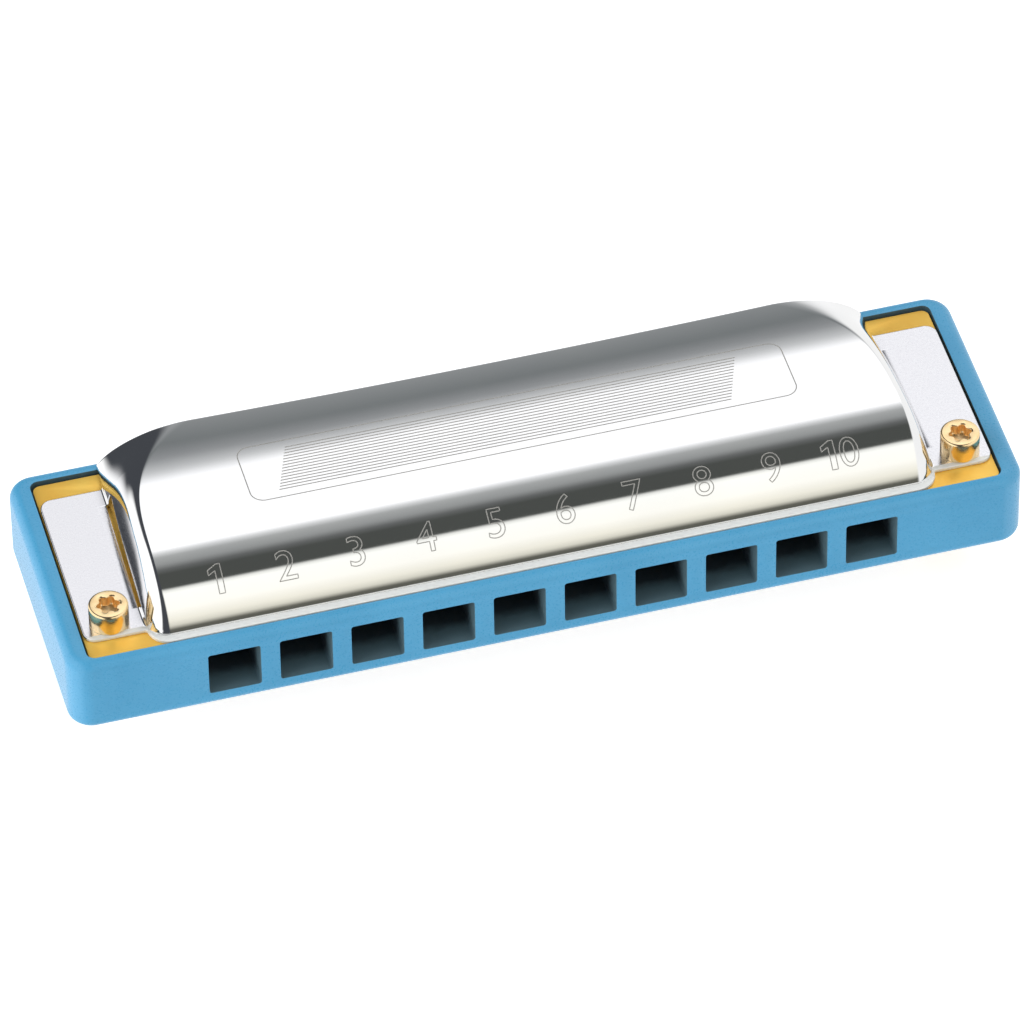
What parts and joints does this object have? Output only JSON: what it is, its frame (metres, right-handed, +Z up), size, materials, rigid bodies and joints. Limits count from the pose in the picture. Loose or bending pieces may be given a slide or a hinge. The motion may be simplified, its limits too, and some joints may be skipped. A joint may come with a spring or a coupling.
{
  "type": "diatonic harmonica",
  "caption": "Pocket diatonic harmonica: blue comb with square holes, brass reed plates set into it, polished open-backed covers with side vents, and gold cover screws.",
  "frame": {"origin": "middle of the lowest plane, where the lower cover's crown rests", "axes": "+X along the row of holes from hole 1 to hole 10, +Y away from the player, +Z up through the upper cover"},
  "size_m": [0.1012, 0.029, 0.0204],
  "materials": {
    "comb_plastic": "satin moulded, sky blue",
    "plate_brass": "fine rolled brass",
    "reed_brass": "ground brass with fine lengthwise marks",
    "rivet_brass": "pressed brass",
    "cover_steel": "mirror polished, with a fine grain on the end tabs",
    "screw_gold": "polished gold plate"
  },
  "bodies": {
    "root": {"comb": "comb_plastic", "upper_reed_plate": "plate_brass", "lower_reed_plate": "plate_brass", "blow_rivet_01": "rivet_brass", "blow_rivet_02": "rivet_brass", "blow_rivet_03": "rivet_brass", "blow_rivet_04": "rivet_brass", "blow_rivet_05": "rivet_brass", "blow_rivet_06": "rivet_brass", "blow_rivet_07": "rivet_brass", "blow_rivet_08": "rivet_brass", "blow_rivet_09": "rivet_brass", "blow_rivet_10": "rivet_brass", "draw_rivet_01": "rivet_brass", "draw_rivet_02": "rivet_brass", "draw_rivet_03": "rivet_brass", "draw_rivet_04": "rivet_brass", "draw_rivet_05": "rivet_brass", "draw_rivet_06": "rivet_brass", "draw_rivet_07": "rivet_brass", "draw_rivet_08": "rivet_brass", "draw_rivet_09": "rivet_brass", "draw_rivet_10": "rivet_brass", "upper_plate_screw_1": "screw_gold", "upper_plate_screw_2": "screw_gold", "upper_plate_screw_3": "screw_gold", "upper_plate_screw_4": "screw_gold", "upper_plate_screw_5": "screw_gold", "lower_plate_screw_1": "screw_gold", "lower_plate_screw_2": "screw_gold", "lower_plate_screw_3": "screw_gold", "lower_plate_screw_4": "screw_gold", "lower_plate_screw_5": "screw_gold", "upper_cover": "cover_steel", "lower_cover": "cover_steel", "left_cover_screw": "screw_gold", "left_cover_nut": "screw_gold", "right_cover_screw": "screw_gold", "right_cover_nut": "screw_gold"},
    "blow_reed_01_body": {"blow_reed_01": "reed_brass"},
    "blow_reed_02_body": {"blow_reed_02": "reed_brass"},
    "blow_reed_03_body": {"blow_reed_03": "reed_brass"},
    "blow_reed_04_body": {"blow_reed_04": "reed_brass"},
    "blow_reed_05_body": {"blow_reed_05": "reed_brass"},
    "blow_reed_06_body": {"blow_reed_06": "reed_brass"},
    "blow_reed_07_body": {"blow_reed_07": "reed_brass"},
    "blow_reed_08_body": {"blow_reed_08": "reed_brass"},
    "blow_reed_09_body": {"blow_reed_09": "reed_brass"},
    "blow_reed_10_body": {"blow_reed_10": "reed_brass"},
    "draw_reed_01_body": {"draw_reed_01": "reed_brass"},
    "draw_reed_02_body": {"draw_reed_02": "reed_brass"},
    "draw_reed_03_body": {"draw_reed_03": "reed_brass"},
    "draw_reed_04_body": {"draw_reed_04": "reed_brass"},
    "draw_reed_05_body": {"draw_reed_05": "reed_brass"},
    "draw_reed_06_body": {"draw_reed_06": "reed_brass"},
    "draw_reed_07_body": {"draw_reed_07": "reed_brass"},
    "draw_reed_08_body": {"draw_reed_08": "reed_brass"},
    "draw_reed_09_body": {"draw_reed_09": "reed_brass"},
    "draw_reed_10_body": {"draw_reed_10": "reed_brass"}
  },
  "joints": [
    {"name": "blow_reed_01_swing", "type": "hinge", "parent": "root", "child": "blow_reed_01_body", "pos_m": [-0.0335, 0.0082, 0.01333], "axis": [1, 0, 0], "range_deg": [-4, 4], "stiffness_Nm_per_rad": 0.0642},
    {"name": "blow_reed_02_swing", "type": "hinge", "parent": "root", "child": "blow_reed_02_body", "pos_m": [-0.026, 0.00764, 0.01333], "axis": [1, 0, 0], "range_deg": [-4, 4], "stiffness_Nm_per_rad": 0.0653},
    {"name": "blow_reed_03_swing", "type": "hinge", "parent": "root", "child": "blow_reed_03_body", "pos_m": [-0.0185, 0.00709, 0.01333], "axis": [1, 0, 0], "range_deg": [-4, 4], "stiffness_Nm_per_rad": 0.0665},
    {"name": "blow_reed_04_swing", "type": "hinge", "parent": "root", "child": "blow_reed_04_body", "pos_m": [-0.011, 0.00653, 0.01333], "axis": [1, 0, 0], "range_deg": [-4, 4], "stiffness_Nm_per_rad": 0.0678},
    {"name": "blow_reed_05_swing", "type": "hinge", "parent": "root", "child": "blow_reed_05_body", "pos_m": [-0.0035, 0.00598, 0.01333], "axis": [1, 0, 0], "range_deg": [-4, 4], "stiffness_Nm_per_rad": 0.0692},
    {"name": "blow_reed_06_swing", "type": "hinge", "parent": "root", "child": "blow_reed_06_body", "pos_m": [0.004, 0.00542, 0.01333], "axis": [1, 0, 0], "range_deg": [-4, 4], "stiffness_Nm_per_rad": 0.0707},
    {"name": "blow_reed_07_swing", "type": "hinge", "parent": "root", "child": "blow_reed_07_body", "pos_m": [0.0115, 0.00487, 0.01333], "axis": [1, 0, 0], "range_deg": [-4, 4], "stiffness_Nm_per_rad": 0.0724},
    {"name": "blow_reed_08_swing", "type": "hinge", "parent": "root", "child": "blow_reed_08_body", "pos_m": [0.019, 0.00431, 0.01333], "axis": [1, 0, 0], "range_deg": [-4, 4], "stiffness_Nm_per_rad": 0.0742},
    {"name": "blow_reed_09_swing", "type": "hinge", "parent": "root", "child": "blow_reed_09_body", "pos_m": [0.0265, 0.00376, 0.01333], "axis": [1, 0, 0], "range_deg": [-4, 4], "stiffness_Nm_per_rad": 0.0763},
    {"name": "blow_reed_10_swing", "type": "hinge", "parent": "root", "child": "blow_reed_10_body", "pos_m": [0.034, 0.0032, 0.01333], "axis": [1, 0, 0], "range_deg": [-4, 4], "stiffness_Nm_per_rad": 0.0785},
    {"name": "draw_reed_01_swing", "type": "hinge", "parent": "root", "child": "draw_reed_01_body", "pos_m": [-0.0335, 0.0082, 0.00562], "axis": [1, 0, 0], "range_deg": [-4, 4], "stiffness_Nm_per_rad": 0.0642},
    {"name": "draw_reed_02_swing", "type": "hinge", "parent": "root", "child": "draw_reed_02_body", "pos_m": [-0.026, 0.00764, 0.00562], "axis": [1, 0, 0], "range_deg": [-4, 4], "stiffness_Nm_per_rad": 0.0653},
    {"name": "draw_reed_03_swing", "type": "hinge", "parent": "root", "child": "draw_reed_03_body", "pos_m": [-0.0185, 0.00709, 0.00562], "axis": [1, 0, 0], "range_deg": [-4, 4], "stiffness_Nm_per_rad": 0.0665},
    {"name": "draw_reed_04_swing", "type": "hinge", "parent": "root", "child": "draw_reed_04_body", "pos_m": [-0.011, 0.00653, 0.00562], "axis": [1, 0, 0], "range_deg": [-4, 4], "stiffness_Nm_per_rad": 0.0678},
    {"name": "draw_reed_05_swing", "type": "hinge", "parent": "root", "child": "draw_reed_05_body", "pos_m": [-0.0035, 0.00598, 0.00562], "axis": [1, 0, 0], "range_deg": [-4, 4], "stiffness_Nm_per_rad": 0.0692},
    {"name": "draw_reed_06_swing", "type": "hinge", "parent": "root", "child": "draw_reed_06_body", "pos_m": [0.004, 0.00542, 0.00562], "axis": [1, 0, 0], "range_deg": [-4, 4], "stiffness_Nm_per_rad": 0.0707},
    {"name": "draw_reed_07_swing", "type": "hinge", "parent": "root", "child": "draw_reed_07_body", "pos_m": [0.0115, 0.00487, 0.00562], "axis": [1, 0, 0], "range_deg": [-4, 4], "stiffness_Nm_per_rad": 0.0724},
    {"name": "draw_reed_08_swing", "type": "hinge", "parent": "root", "child": "draw_reed_08_body", "pos_m": [0.019, 0.00431, 0.00562], "axis": [1, 0, 0], "range_deg": [-4, 4], "stiffness_Nm_per_rad": 0.0742},
    {"name": "draw_reed_09_swing", "type": "hinge", "parent": "root", "child": "draw_reed_09_body", "pos_m": [0.0265, 0.00376, 0.00562], "axis": [1, 0, 0], "range_deg": [-4, 4], "stiffness_Nm_per_rad": 0.0763},
    {"name": "draw_reed_10_swing", "type": "hinge", "parent": "root", "child": "draw_reed_10_body", "pos_m": [0.034, 0.0032, 0.00562], "axis": [1, 0, 0], "range_deg": [-4, 4], "stiffness_Nm_per_rad": 0.0785}
  ]
}
